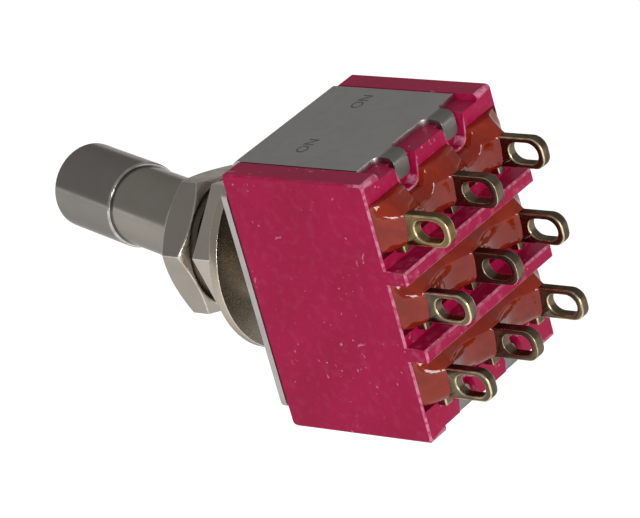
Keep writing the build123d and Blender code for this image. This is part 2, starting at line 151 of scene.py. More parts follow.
def direction(azimuth: float, elevation: float) -> Vector:
    """The unit vector at an angle from +X toward +Y and an angle of rise, in degrees."""
    turn, rise = radians(azimuth), radians(elevation)
    return Vector((cos(rise) * cos(turn), cos(rise) * sin(turn), sin(rise)))


# ---- shader wiring -----------------------------------------------------------------------
class Wiring:
    """Adds nodes to one node tree and links them.

    Args:
        tree: The material, world or group tree to write in.
    """

    def __init__(self, tree: bpy.types.NodeTree) -> None:
        """Keeps the tree."""
        self.tree = tree

    def add(self, kind: str, inputs: dict | None = None, **settings: object) -> bpy.types.Node:
        """Adds a node.

        Args:
            kind: The node's Blender type.
            inputs: Values or sockets by input name or index.
            settings: Properties of the node.

        Returns:
            The new node.
        """
        node = self.tree.nodes.new(kind)
        for name, value in settings.items():
            setattr(node, name, value)
        for name, value in (inputs or {}).items():
            self.feed(node.inputs[name], value)
        return node

    def feed(self, socket: bpy.types.NodeSocket, value: object) -> None:
        """Links a socket to an input, or sets the input's own value.

        Args:
            socket: The input.
            value: A socket or a plain value.
        """
        if isinstance(value, bpy.types.NodeSocket):
            self.tree.links.new(value, socket)
        else:
            socket.default_value = value

    def math(self, operation: str, *values: object, clamp: bool = False) -> bpy.types.NodeSocket:
        """One step of arithmetic on sockets or numbers."""
        inputs = dict(enumerate(values))
        return self.add("ShaderNodeMath", inputs, operation=operation, use_clamp=clamp).outputs[0]

    def vector(self, operation: str, *values: object) -> bpy.types.NodeSocket:
        """One step of arithmetic on vectors."""
        inputs = dict(enumerate(values))
        return self.add("ShaderNodeVectorMath", inputs, operation=operation).outputs[0]

    def ramp(self, value: object, edges: tuple[object, object],
             ends: tuple[object, object] = (0.0, 1.0)) -> bpy.types.NodeSocket:
        """Maps a value between two edges smoothly onto two ends."""
        inputs = dict(enumerate((value, *edges, *ends)))
        return self.add("ShaderNodeMapRange", inputs, interpolation_type="SMOOTHSTEP").outputs[0]

    def blend(self, factor: object, first: object, second: object) -> bpy.types.NodeSocket:
        """Mixes two colours.

        Args:
            factor: Share of the second colour.
            first: A Tone or a socket.
            second: A Tone or a socket.

        Returns:
            The mixed colour.
        """
        first, second = (c.rgba() if isinstance(c, Tone) else c for c in (first, second))
        inputs = {"Factor": factor, MIX_FIRST: first, MIX_SECOND: second}
        return self.add("ShaderNodeMix", inputs, data_type="RGBA").outputs[MIX_RESULT]

    def noise(self, place: bpy.types.NodeSocket, scale: object, detail: object,
              fine: float = 0.5) -> bpy.types.NodeOutputs:
        """A noise texture.

        Args:
            place: The coordinates.
            scale: Lumps per unit of the coordinates.
            detail: Number of finer layers.
            fine: Strength of each finer layer against the last.

        Returns:
            The texture's outputs: its value first, then its colour.
        """
        inputs = {"Vector": place, "Scale": scale, "Detail": detail, "Roughness": fine}
        return self.add("ShaderNodeTexNoise", inputs).outputs

    def stray(self, place: bpy.types.NodeSocket, scale: float, detail: float,
              reach: float) -> bpy.types.NodeSocket:
        """Coordinates that noise of a scale and a detail pushes about, as far as a reach."""
        push = self.noise(place, scale, detail)["Color"]
        return self.vector("ADD", place, self.vector("MULTIPLY", push, (reach,) * 3))

    def millimetres(self) -> bpy.types.NodeSocket:
        """Object coordinates in millimetres."""
        inputs = {0: self.add("ShaderNodeTexCoord").outputs["Object"], "Scale": 1 / MM}
        return self.add("ShaderNodeVectorMath", inputs, operation="SCALE").outputs[0]

    def along_y(self) -> bpy.types.NodeSocket:
        """The object coordinate Y in millimetres."""
        return self.add("ShaderNodeSeparateXYZ", {0: self.millimetres()}).outputs[1]


@dataclass
class EffectKit:
    """The shader node groups that several finishes share, each built once.

    Args:
        fine: Strength of each finer layer of the grain against the last.
        rub_detail: Detail of the noise that breaks up the edge colour of rubbed wear and painted
            glints.
        rub_edges: Values of that noise between which an edge begins to take the edge colour.
        patch_scale: Patches of specks per millimetre.
        patch_detail: Detail of the patches.
        patch_edges: Values of their noise between which a patch begins.
        between: Share of the specks that is left between the patches.
        ragged: Scale, detail and reach of the noise that makes specks ragged.
        wander: Scale, detail and reach of the noise that makes scratches wander.
        scratch_shape: Width and length of the cells that hold scratches.
        scratch_lays: Turn and shift of each family of scratches.
        scratch_share: Share of the specks' cells that scratches take.
        spot_reach: Reach of the smallest spot in its cell.
        spot_spread: How much further the largest spot reaches.
        spot_core: Share of a spot's reach that is at full strength.
    """

    fine: float = 0.55
    rub_detail: float = 4.0
    rub_edges: tuple[float, float] = (0.38, 0.6)
    patch_scale: float = 0.42
    patch_detail: float = 2.0
    patch_edges: tuple[float, float] = (0.5, 0.6)
    between: float = 0.06
    ragged: tuple[float, float, float] = (8.0, 4.0, 0.35)
    wander: tuple[float, float, float] = (1.6, 2.0, 0.6)
    scratch_shape: tuple[float, float, float] = (0.4, 2.2, 0.4)
    scratch_lays: tuple[tuple[tuple[float, float, float], float], ...] = (
        ((0.5, 0.2, 0.0), 0.0), ((1.3, -0.2, 0.0), 7.0), ((2.5, 0.1, 0.0), 13.0))
    scratch_share: float = 0.5
    spot_reach: float = 0.07
    spot_spread: float = 0.2
    spot_core: float = 0.5

    def __post_init__(self) -> None:
        """Builds the groups."""
        self.grain = self._grain()
        self.rub = self._rub()
        self.scuffs = self._scuffs()

    def _start(self, name: str, inputs: dict[str, float | tuple], outputs: tuple[str, ...],
               ) -> tuple[Wiring, bpy.types.NodeOutputs, bpy.types.NodeInputs]:
        """Opens a group with named inputs and float outputs.

        Args:
            name: The group's name.
            inputs: Default values by input name; a tuple makes a vector input.
            outputs: Names of the float outputs.

        Returns:
            The wiring, the sockets that give the inputs and those that take the outputs.
        """
        group = bpy.data.node_groups.new(name, "ShaderNodeTree")
        for label, value in inputs.items():
            kind = "NodeSocketVector" if isinstance(value, tuple) else "NodeSocketFloat"
            socket = group.interface.new_socket(label, in_out="INPUT", socket_type=kind)
            socket.default_value = value
        for label in outputs:
            group.interface.new_socket(label, in_out="OUTPUT", socket_type="NodeSocketFloat")
        wires = Wiring(group)
        return wires, wires.add("NodeGroupInput").outputs, wires.add("NodeGroupOutput").inputs

    def _grain(self) -> bpy.types.NodeTree:
        """Noise of a set size that may be turned and stretched: clouds, grain, turned lines.

        Returns:
            The group.
        """
        defaults = {"Size": 1.0, "Detail": 3.0, "Turn": (0.0, 0.0, 0.0),
                    "Stretch": (1.0, 1.0, 1.0), "Shift": 0.0}
        wires, given, result = self._start("Grain", defaults, ("Value",))
        turned = wires.add("ShaderNodeMapping", {
            "Vector": wires.millimetres(), "Rotation": given["Turn"],
        }, vector_type="POINT").outputs[0]
        place = wires.vector("MULTIPLY", turned, given["Stretch"])
        place = wires.vector("ADD", place, given["Shift"])
        scale = wires.math("DIVIDE", 1.0, given["Size"])
        wires.feed(result["Value"], wires.noise(place, scale, given["Detail"], self.fine)[0])
        return wires.tree

    def _rub(self) -> bpy.types.NodeTree:
        """Mask of the eased edges, broken up by noise: rubbed wear, and on metal painted glints
        too.

        Returns:
            The group.
        """
        defaults = {"Breakup": 0.5, "Breakup Size": 0.4}
        wires, given, result = self._start("Edge Rub And Glint", defaults, ("Mask",))
        edge = wires.add("ShaderNodeAttribute", attribute_name="rub").outputs["Fac"]
        scale = wires.math("DIVIDE", 1.0, given["Breakup Size"])
        gaps = wires.noise(wires.millimetres(), scale, self.rub_detail)[0]
        lost = wires.math("SUBTRACT", 1.0, wires.ramp(gaps, self.rub_edges))
        kept = wires.math("SUBTRACT", 1.0, wires.math("MULTIPLY", given["Breakup"], lost))
        wires.feed(result["Mask"], wires.math("MULTIPLY", edge, kept, clamp=True))
        return wires.tree

    def _scuffs(self) -> bpy.types.NodeTree:
        """Masks of scattered pale specks, gathered in patches, and of short scratches.

        Returns:
            The group.
        """
        defaults = {"Spacing": 0.6, "Share": 0.3, "Scratch Length": 0.7}
        wires, given, result = self._start("Scuffs", defaults, ("Specks", "Scratches"))
        place = wires.millimetres()
        patches = wires.noise(place, self.patch_scale, self.patch_detail)[0]
        crowd = wires.ramp(patches, self.patch_edges, (self.between, 1.0))
        share = wires.math("MULTIPLY", given["Share"], crowd)
        size = wires.math("DIVIDE", 1.0, given["Spacing"])
        specks = self._marks(wires, wires.stray(place, *self.ragged), size, share)
        wires.feed(result["Specks"], specks)
        curved = wires.stray(place, *self.wander)
        length = wires.math("DIVIDE", 1.0, given["Scratch Length"])
        few = wires.math("MULTIPLY", share, self.scratch_share)
        scratches = 0.0
        for turn, shift in self.scratch_lays:
            turned = wires.add("ShaderNodeMapping", {
                "Vector": curved, "Rotation": turn, "Location": (shift, 0.0, 0.0),
                "Scale": self.scratch_shape,
            }, vector_type="TEXTURE").outputs[0]
            family = self._marks(wires, turned, length, few)
            scratches = wires.math("MAXIMUM", scratches, family)
        wires.feed(result["Scratches"], scratches)
        return wires.tree

    def _marks(self, wires: Wiring, place: bpy.types.NodeSocket, scale: bpy.types.NodeSocket,
               share: bpy.types.NodeSocket) -> bpy.types.NodeSocket:
        """Spots of mixed size in a share of the cells of a cell pattern.

        Args:
            wires: The group's wiring.
            place: The coordinates.
            scale: Cells per unit of the coordinates.
            share: Share of the cells that hold a spot.

        Returns:
            The mask.
        """
        cells = wires.add("ShaderNodeTexVoronoi", {"Vector": place, "Scale": scale}).outputs
        chance = wires.add("ShaderNodeSeparateColor", {0: cells["Color"]}).outputs
        chosen = wires.math("LESS_THAN", chance[0], share)
        reach = wires.math("MULTIPLY_ADD", chance[1], self.spot_spread, self.spot_reach)
        core = wires.math("MULTIPLY", reach, self.spot_core)
        return wires.math("MULTIPLY", wires.ramp(cells["Distance"], (reach, core)), chosen)


# ---- finishes ----------------------------------------------------------------------------
def blank(holder: bpy.types.Material | bpy.types.World) -> Wiring:
    """Clears the nodes of a material or a world.

    Args:
        holder: The material or world.

    Returns:
        The wiring of its empty tree.
    """
    holder.use_nodes = True
    holder.node_tree.nodes.clear()
    return Wiring(holder.node_tree)


class Surface:
    """One material in the making: its shader, and the shared effects placed before it.

    Args:
        name: The material's name.
        kit: The shared effects, where it uses them.
    """

    def __init__(self, name: str, kit: EffectKit | None = None) -> None:
        """Makes the material, with its shader linked to the output."""
        self.kit = kit
        self.material = bpy.data.materials.new(name)
        self.wires = blank(self.material)
        self.shader = self.wires.add("ShaderNodeBsdfPrincipled")
        self.wires.add("ShaderNodeOutputMaterial", {"Surface": self.shader.outputs[0]})

    def put(self, **values: object) -> None:
        """Feeds the shader's inputs, by name with underscores for spaces."""
        for label, value in values.items():
            self.wires.feed(self.shader.inputs[label.replace("_", " ")], value)

    def effect(self, group: bpy.types.NodeTree, **values: object) -> bpy.types.NodeOutputs:
        """Places a shared effect.

        Args:
            group: The effect's node group.
            values: Values by input name, with underscores for spaces.

        Returns:
            The effect's outputs.
        """
        inputs = {label.replace("_", " "): value for label, value in values.items()}
        return self.wires.add("ShaderNodeGroup", inputs, node_tree=group).outputs

    def grain(self, size: float, detail: float, **values: object) -> bpy.types.NodeSocket:
        """Noise of a size in millimetres and a detail."""
        return self.effect(self.kit.grain, Size=size, Detail=detail, **values)["Value"]

    def rub(self, breakup: float, size: float) -> bpy.types.NodeSocket:
        """Mask of the edges, for rubbed wear and on metal painted glints, broken up at a size in
        millimetres.
        """
        return self.effect(self.kit.rub, Breakup=breakup, Breakup_Size=size)["Mask"]

    def bump(self, height: bpy.types.NodeSocket, depth: float) -> None:
        """Adds relief, its depth in millimetres."""
        inputs = {"Height": height, "Distance": depth * MM, "Strength": 1.0}
        self.put(Normal=self.wires.add("ShaderNodeBump", inputs).outputs[0])


@dataclass(frozen=True)
class Finish(ABC):
    """A finish that builds its own procedural material.

    Args:
        name: The material's name.
    """

    name: str

    @abstractmethod
    def dress(self, surface: Surface) -> None:
        """Feeds the shader's inputs.

        Args:
            surface: The material in the making.
        """

    def build(self, kit: EffectKit) -> bpy.types.Material:
        """Makes the material.

        Args:
            kit: The shared effects.

        Returns:
            The material, with its shader linked to the output.
        """
        surface = Surface(self.name, kit)
        self.dress(surface)
        return surface.material


@dataclass(frozen=True)
class Moulding(Finish):
    """Thermoset moulding with frosted edges, specks and scratches.

    Args:
        body: The moulding's colour.
        deep: The darker cloud in it.
        frost: The colour of rubbed edges and scuffs.
        proud: Y in millimetres over which the ribs begin.
        veil: Share of frosty mottle before and after that.
        frosty: Values of the mottle between which it turns frosty.
        worked: Y in millimetres over which the handled part of the case begins.
        rubbed: Share of the rubbed edges before and after that.
        specks: Strength of the specks.
        scratches: Strength of the scratches.
        roughness: Least and greatest roughness.
        rub_rough: Roughness that a rubbed edge adds.
        specular: Specular level.
        relief: Depth of the relief in millimetres.
        grain_share: Share of the relief that is grain.
        scuff_share: Share of the relief that is scuffs.
    """

    body: Tone
    deep: Tone
    frost: Tone
    proud: tuple[float, float] = (10.75, 11.25)
    veil: tuple[float, float] = (0.06, 0.3)
    frosty: tuple[float, float] = (0.46, 0.7)
    worked: tuple[float, float] = (9.15, 10.35)
    rubbed: tuple[float, float] = (0.05, 0.85)
    specks: float = 0.85
    scratches: float = 0.7
    roughness: tuple[float, float] = (0.36, 0.48)
    rub_rough: float = 0.15
    specular: float = 0.18
    relief: float = 0.006
    grain_share: float = 0.35
    scuff_share: float = 0.8

    def dress(self, surface: Surface) -> None:
        """Cloudy colour, rubbed edges, specks, scratches and a fine moulded grain.

        Args:
            surface: The material in the making.
        """
        wires = surface.wires
        cloud = surface.grain(size=3.5, detail=4.0)
        mottle = surface.grain(size=0.6, detail=5.0, Shift=11.0)
        edge = surface.rub(breakup=0.75, size=0.35)
        scuffs = surface.effect(surface.kit.scuffs, Spacing=0.36, Share=0.5, Scratch_Length=1.0)
        along = wires.along_y()
        veil = wires.math("MULTIPLY", wires.ramp(mottle, self.frosty),
                          wires.ramp(along, self.proud, self.veil))
        bared = wires.math("MULTIPLY", edge, wires.ramp(along, self.worked, self.rubbed))
        worn = wires.math("MAXIMUM",
                          wires.math("MULTIPLY", scuffs["Scratches"], self.scratches),
                          wires.math("MULTIPLY", scuffs["Specks"], self.specks))
        colour = wires.blend(wires.ramp(cloud, WIDE_CLOUD), self.deep, self.body)
        for mask in (veil, bared, worn):
            colour = wires.blend(mask, colour, self.frost)
        surface.put(
            Base_Color=colour,
            Roughness=wires.math("ADD", wires.ramp(mottle, WIDE_CLOUD, self.roughness),
                                 wires.math("MULTIPLY", edge, self.rub_rough)),
            Specular_IOR_Level=self.specular)
        grain = wires.math("MULTIPLY", surface.grain(size=0.07, detail=2.0), self.grain_share)
        dents = wires.math("MULTIPLY", worn, self.scuff_share)
        surface.bump(wires.math("ADD", grain, dents), self.relief)


@dataclass(frozen=True)
class Metal(Finish):
    """Plated or bare metal with fine lines, stains, and bright edges that are rubbed wear and
    painted glints.

    Args:
        body: The metal's colour.
        stain: The colour where it is dull or tarnished.
        edge: The colour of the edges: rubbed wear, and the painted glints along them.
        roughness: Roughness of clean metal.
        stained: How much of the surface the stain veils, from 0 to 1.
        stain_size: Size of the stains in millimetres.
        line: Stretch of the fine lines along each axis.
        turn: Turn of the fine lines, in radians.
        relief: Depth of the fine lines in millimetres.
        grazing: Tint of the metal seen at a flat angle.
        bend_shade: Darker tone that paints the shade in the claws' bends, where the metal has
            any.
        bend_shade_places: Y in millimetres over which the painted shade begins.
        stain_edges: Values of the noise between which a stain begins.
        rubbed: Share of the edges that takes the edge colour, for rubbed wear and painted glints.
        lined: Roughness that the lines take away and add.
        stain_rough: Roughness that a stain adds.
    """

    body: Tone
    stain: Tone
    edge: Tone
    roughness: float
    stained: float = 0.3
    stain_size: float = 1.5
    line: tuple[float, float, float] = (1.0, 1.0, 1.0)
    turn: tuple[float, float, float] = (0.0, 0.0, 0.0)
    relief: float = 0.001
    grazing: Tone = Tone(0.55, 0.54, 0.52)
    bend_shade: Tone | None = None
    bend_shade_places: tuple[float, float] = (9.25, 9.6)
    stain_edges: tuple[float, float] = (0.38, 0.66)
    rubbed: float = 0.9
    lined: tuple[float, float] = (-0.04, 0.05)
    stain_rough: float = 0.2

    def dress(self, surface: Surface) -> None:
        """Stained colour, painted shade in the bends where given, lined roughness and relief, and
        brighter edges.

        Args:
            surface: The material in the making.
        """
        wires = surface.wires
        cloud = surface.grain(self.stain_size, detail=3.0)
        lines = surface.grain(size=0.12, detail=3.0, Stretch=self.line, Turn=self.turn)
        veil = wires.math("MULTIPLY", wires.ramp(cloud, self.stain_edges), self.stained)
        colour = wires.blend(veil, self.body, self.stain)
        # Where given, the colour darkens towards +Y in the claws' bends: painted shade.
        if self.bend_shade:
            bend_shade_mask = wires.ramp(wires.along_y(), self.bend_shade_places)
            colour = wires.blend(bend_shade_mask, colour, self.bend_shade)
        # The edge colour paints the glints along the edges as well as their rubbed wear.
        bright = wires.math("MULTIPLY", surface.rub(breakup=0.5, size=0.5), self.rubbed)
        smoothest, roughest = (self.roughness + change for change in self.lined)
        surface.put(
            Base_Color=wires.blend(bright, colour, self.edge),
            Metallic=1.0,
            Specular_Tint=self.grazing.rgba(),
            Roughness=wires.math("ADD", wires.ramp(lines, WIDE_CLOUD, (smoothest, roughest)),
                                 wires.math("MULTIPLY", veil, self.stain_rough)))
        surface.bump(lines, self.relief)


@dataclass(frozen=True)
class Potting(Finish):
    """Glossy poured resin.

    Args:
        body: The resin's colour.
        deep: The colour where it is thick.
        dusty: Values of the noise between which dust dulls the gloss.
        roughness: Roughness without and with dust.
        specular: Specular level.
        relief: Depth of the waves in millimetres.
    """

    body: Tone
    deep: Tone
    dusty: tuple[float, float] = (0.5, 0.78)
    roughness: tuple[float, float] = (0.05, 0.16)
    specular: float = 0.46
    relief: float = 0.014

    def dress(self, surface: Surface) -> None:
        """Clouded colour under a gloss with faint waves and a little dust.

        Args:
            surface: The material in the making.
        """
        wires = surface.wires
        cloud = wires.ramp(surface.grain(size=1.2, detail=3.0), NARROW_CLOUD)
        dust = surface.grain(size=0.1, detail=3.0, Shift=3.0)
        surface.put(Base_Color=wires.blend(cloud, self.deep, self.body),
                    Roughness=wires.ramp(dust, self.dusty, self.roughness),
                    Specular_IOR_Level=self.specular)
        waves = surface.grain(size=0.45, detail=1.0, Shift=5.0)
        surface.bump(waves, self.relief)


@dataclass(frozen=True)
class Plain(Finish):
    """Moulded or printed surface with a faint mottle.

    Args:
        body: The colour.
        deep: The darker mottle.
        roughness: Mean roughness.
        spread: How far the roughness goes from its mean.
        relief: Depth of the grain in millimetres.
    """

    body: Tone
    deep: Tone
    roughness: float
    spread: float = 0.06
    relief: float = 0.004

    def dress(self, surface: Surface) -> None:
        """Mottled colour and roughness with a fine grain.

        Args:
            surface: The material in the making.
        """
        wires = surface.wires
        cloud = wires.ramp(surface.grain(size=0.8, detail=4.0), NARROW_CLOUD)
        grain = surface.grain(size=0.08, detail=2.0)
        reach = (self.roughness - self.spread, self.roughness + self.spread)
        surface.put(Base_Color=wires.blend(cloud, self.deep, self.body),
                    Roughness=wires.ramp(grain, WIDE_CLOUD, reach))
        surface.bump(grain, self.relief)


# The lever leans by this many degrees at rest, and its fine lines run round it.
LEVER_LEAN = 16.81
LEVER_TURN = (0.0, 0.0, radians(LEVER_LEAN))
# Each metal's edge colour is far lighter than its body: it paints glints along the edges as well
# as rubbed wear.
FINISHES: tuple[Finish, ...] = (
    Moulding("crimson_moulding", body=Tone(0.41, 0.004, 0.062), deep=Tone(0.36, 0.003, 0.052),
             frost=Tone(0.66, 0.24, 0.36)),
    # satin_steel darkens the claws' bends from Y 9.25 mm on: painted shade.
    Metal("satin_steel", body=Tone(0.52, 0.51, 0.49), stain=Tone(0.46, 0.45, 0.43),
          edge=Tone(0.9, 0.89, 0.87), roughness=0.34, stained=0.5, line=(0.12, 1.0, 1.0),
          relief=0.0006, bend_shade=Tone(0.27, 0.265, 0.25)),
    Metal("nickel_plate", body=Tone(0.42, 0.38, 0.33), stain=Tone(0.35, 0.31, 0.265),
          edge=Tone(0.8, 0.77, 0.7), roughness=0.17, stained=0.4, stain_size=2.5,
          relief=0.0003),
    # The ring and washer's nickel is tinted brown: a painted reflection of the crimson around it.
    Metal("ring_nickel_with_painted_reflection", body=Tone(0.54, 0.47, 0.39), stain=Tone(0.44, 0.37, 0.29),
          edge=Tone(0.85, 0.82, 0.76), roughness=0.22, stained=0.4, stain_size=4.0,
          relief=0.0),
    # A lighter copy of nickel_plate for the inner nut: painted light against the shade it sits
    # in.
    Metal("inner_nickel_painted_light", body=Tone(0.56, 0.51, 0.45), stain=Tone(0.48, 0.43, 0.37),
          edge=Tone(0.85, 0.82, 0.75), roughness=0.17, stained=0.4, stain_size=2.5,
          relief=0.0003),
    Metal("lever_nickel", body=Tone(0.30, 0.282, 0.262), stain=Tone(0.255, 0.236, 0.215),
          edge=Tone(0.85, 0.83, 0.79), roughness=0.14, stained=0.3, stain_size=3.0,
          line=(0.15, 3.0, 0.15), turn=LEVER_TURN, relief=0.0003),
    Metal("sleeve_nickel", body=Tone(0.385, 0.355, 0.315), stain=Tone(0.33, 0.305, 0.265),
          edge=Tone(0.85, 0.82, 0.77), roughness=0.15, stained=0.3, stain_size=3.0,
          line=(0.15, 3.0, 0.15), turn=LEVER_TURN, relief=0.0003),
    Metal("turned_steel", body=Tone(0.5, 0.49, 0.47), stain=Tone(0.4, 0.38, 0.35),
          edge=Tone(0.7, 0.7, 0.68), roughness=0.28, line=(0.15, 3.0, 0.15), turn=LEVER_TURN),
    Metal("spring_wire", body=Tone(0.55, 0.55, 0.55), stain=Tone(0.42, 0.42, 0.42),
          edge=Tone(0.7, 0.7, 0.7), roughness=0.25),
    Metal("contact_brass", body=Tone(0.72, 0.55, 0.26), stain=Tone(0.55, 0.4, 0.2),
          edge=Tone(0.85, 0.7, 0.4), roughness=0.28),
    Metal("gilt_brass", body=Tone(0.27, 0.19, 0.085), stain=Tone(0.13, 0.088, 0.04),
          edge=Tone(0.95, 0.8, 0.46), roughness=0.26, stained=0.6, stain_size=1.3),
    Metal("tarnished_brass", body=Tone(0.19, 0.15, 0.105), stain=Tone(0.10, 0.075, 0.058),
          edge=Tone(0.95, 0.82, 0.5), roughness=0.25, stained=0.8, stain_size=1.3),
    Potting("potting_resin", body=Tone(0.27, 0.021, 0.005), deep=Tone(0.21, 0.013, 0.0035)),
    Plain("natural_nylon", body=Tone(0.8, 0.78, 0.7), deep=Tone(0.72, 0.69, 0.6), roughness=0.45),
    Plain("lettering_ink", body=Tone(0.10, 0.10, 0.098), deep=Tone(0.075, 0.075, 0.073),
          roughness=0.5),
)


class Paint:
    """The materials by name, built once."""

    def __init__(self) -> None:
        """Builds every finish."""
        kit = EffectKit()
        self.materials = {finish.name: finish.build(kit) for finish in FINISHES}

    def __getitem__(self, name: str) -> bpy.types.Material:
        """The material of that name."""
        return self.materials[name]


# ---- mesh helpers ------------------------------------------------------------------------
def place_object(name: str, data: bpy.types.ID) -> bpy.types.Object:
    """Adds an object to the scene.

    Args:
        name: The object's name.
        data: Its mesh, letters, lamp or camera.

    Returns:
        The new object.
    """
    holder = bpy.data.objects.new(name, data)
    bpy.context.scene.collection.objects.link(holder)
    return holder


def evaluated(holder: bpy.types.Object) -> bpy.types.Mesh:
    """The plain mesh that an object's modifiers or letters give."""
    depsgraph = bpy.context.evaluated_depsgraph_get()
    return bpy.data.meshes.new_from_object(holder.evaluated_get(depsgraph))


def modified(mesh: bpy.types.Mesh, kind: str, **settings: object) -> bpy.types.Mesh:
    """Works one modifier into a mesh.

    Args:
        mesh: The mesh.
        kind: The modifier's Blender type.
        settings: Properties of the modifier.

    Returns:
        The new mesh.
    """
    holder = place_object(f"{mesh.name}_work", mesh)
    modifier = holder.modifiers.new("work", kind)
    for name, value in settings.items():
        setattr(modifier, name, value)
    result = evaluated(holder)
    bpy.data.objects.remove(holder)
    return result


def merged_copy(node: str) -> bmesh.types.BMesh:
    """Copies a CAD node's triangles and joins their shared corners.

    Args:
        node: The CAD node.

    Returns:
        The copy.
    """
    shape = bmesh.new()
    shape.from_mesh(frame["nodes"][node].data)
    bmesh.ops.remove_doubles(shape, verts=shape.verts, dist=WELD)
    return shape


def finished(name: str, shape: bmesh.types.BMesh, angle: float | None = None) -> bpy.types.Mesh:
    """Turns a worked shape into a mesh.

    Args:
        name: The mesh's name.
        shape: The shape, which is freed.
        angle: Where given, edges up to this angle in degrees are shaded smooth.

    Returns:
        The mesh.
    """
    mesh = bpy.data.meshes.new(name)
    shape.to_mesh(mesh)
    shape.free()
    if angle is not None:
        smooth(mesh, angle)
    return mesh


def smooth(mesh: bpy.types.Mesh, angle: float) -> None:
    """Shades a mesh smooth, but sharp over edges of more than an angle in degrees."""
    mesh.shade_smooth()
    mesh.set_sharp_from_angle(angle=radians(angle))


def new_piece(name: str, node: str, mesh: bpy.types.Mesh, material: bpy.types.Material,
              replaces: bool = True) -> bpy.types.Object:
    """Adds a finished mesh to the scene as a piece, on a CAD node's body.

    Args:
        name: The piece's name.
        node: The CAD node.
        mesh: The piece's mesh, with its place in it.
        material: Its material.
        replaces: Whether it stands for the node.

    Returns:
        The new object.
    """
    mesh.materials.clear()
    mesh.materials.append(material)
    piece = place_object(name, mesh)
    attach(piece, body_of(node))
    if replaces:
        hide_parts(node)
    log.info("%s: %d faces, rides on %s", name, len(mesh.polygons), body_of(node))
    return piece


def dress_nodes(material: bpy.types.Material, *nodes: str) -> None:
    """Gives CAD nodes that stay as they are a material.

    Args:
        material: The material.
        nodes: The nodes.
    """
    for node in nodes:
        slots = frame["nodes"][node].data.materials
        slots.clear()
        slots.append(material)
        log.info("%s: CAD form kept", node)


def eased_copy(node: str, width: float, segments: int = 2, sharpest: float = 28.0,
               slim: float = 0.0) -> bpy.types.Mesh:
    """A merged copy of a CAD node with its edges eased and marked for the edge colour of wear and
    painted glints.

    Args:
        node: The CAD node.
        width: Width of the eased edge in millimetres.
        segments: Faces across an eased edge.
        sharpest: The least angle in degrees at which an edge is eased.
        slim: Faces narrower than this, in millimetres, count as rubbed edges too.

    Returns:
        The new mesh, shaded so that its flat faces stay flat.
    """
    shape = merged_copy(node)
    bmesh.ops.dissolve_limit(shape, angle_limit=FLAT, verts=shape.verts, edges=shape.edges,
                             delimit={"NORMAL"})
    bmesh.ops.connect_verts_concave(shape, faces=shape.faces)
    for face in shape.faces:
        narrow = face.calc_area() < slim * MM * face.calc_perimeter() / 2
        face.material_index = Area.EDGE if narrow else Area.PLAIN
    mesh = finished(f"{node}_eased", shape)
    for _area in Area:
        mesh.materials.append(None)
    eased = modified(mesh, "BEVEL", width=width * MM, segments=segments, limit_method="ANGLE",
                     angle_limit=radians(sharpest), use_clamp_overlap=True,
                     miter_outer="MITER_ARC", material=Area.EDGE)
    mark_rub_and_glint(eased)
    smooth(eased, EASED_ANGLE)
    return modified(eased, "WEIGHTED_NORMAL", weight=100, keep_sharp=True)


def mark_rub_and_glint(mesh: bpy.types.Mesh) -> None:
    """Writes how much edge colour each face corner takes, most along the middle of an eased edge:
    rubbed wear, and on metal painted glints.

    Args:
        mesh: A mesh whose material indices are areas, and which ends with one material.
    """
    plain = {vertex for face in mesh.polygons if face.material_index == Area.PLAIN
             for vertex in face.vertices}
    rub = mesh.attributes.new("rub", "FLOAT", "CORNER")
    for face in mesh.polygons:
        for loop in face.loop_indices:
            worn = BORDER_RUB if mesh.loops[loop].vertex_index in plain else 1.0
            rub.data[loop].value = 0.0 if face.material_index == Area.PLAIN else worn
        face.material_index = 0


def shortening_spring(node: str, material: bpy.types.Material) -> None:
    """A spring: a copy of its CAD node's mesh, placed as a piece on the node's body.

    Args:
        node: The spring's CAD node.
        material: Its material.
    """
    mesh = frame["nodes"][node].data.copy()
    spring = new_piece(f"{node}_wire", node, mesh, material)
    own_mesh(spring)


# ---- sub-assemblies ----------------------------------------------------------------------
@dataclass
class Housing:
    """The moulded case in its folded frame, with the lettering on the upper flange.

    Args:
        paint: The materials.
        case_ease: Eased edge of the case, in millimetres.
        slim: Width under which a face of the case counts as a rubbed edge.
        frame_ease: Eased edge of the frame.
        letter_height: Height of the capitals.
        capital_share: Height of a capital as a share of the font's size.
        letter_places: Middle of each word, X and Y in millimetres.
        ink: Thickness of the ink.
    """

    paint: Paint
    case_ease: float = 0.05
    slim: float = 0.2
    frame_ease: float = 0.08
    letter_height: float = 0.75
    capital_share: float = 0.7
    letter_places: tuple[tuple[float, float], ...] = ((2.38, 3.82), (-3.13, 3.69))
    ink: float = 0.012

    def build(self) -> None:
        """Builds the case, the frame and the lettering."""
        new_piece("case_moulded", "case", eased_copy("case", self.case_ease, slim=self.slim),
                  self.paint["crimson_moulding"])
        new_piece("frame_folded", "frame_bracket", eased_copy("frame_bracket", self.frame_ease),
                  self.paint["satin_steel"])
        self.letter()

    def letter(self) -> None:
        """Prints the switched state twice along the flange, read from the lug side."""
        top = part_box("frame_bracket")[1].z
        words = bpy.data.curves.new("lettering", "FONT")
        words.body = "ON"
        words.align_x = "CENTER"
        words.align_y = "CENTER"
        words.size = self.letter_height / self.capital_share * MM
        words.extrude = self.ink / 2 * MM
        holder = place_object("lettering_words", words)
        shape = bmesh.new()
        for x, y in self.letter_places:
            word = evaluated(holder)
            place = Matrix.Translation((x * MM, y * MM, top))
            word.transform(place @ Matrix.Rotation(pi, 4, "Z"))
            shape.from_mesh(word)
            bpy.data.meshes.remove(word)
        bpy.data.objects.remove(holder)
        new_piece("lettering_on", "frame_bracket", finished("lettering", shape),
                  self.paint["lettering_ink"], replaces=False)


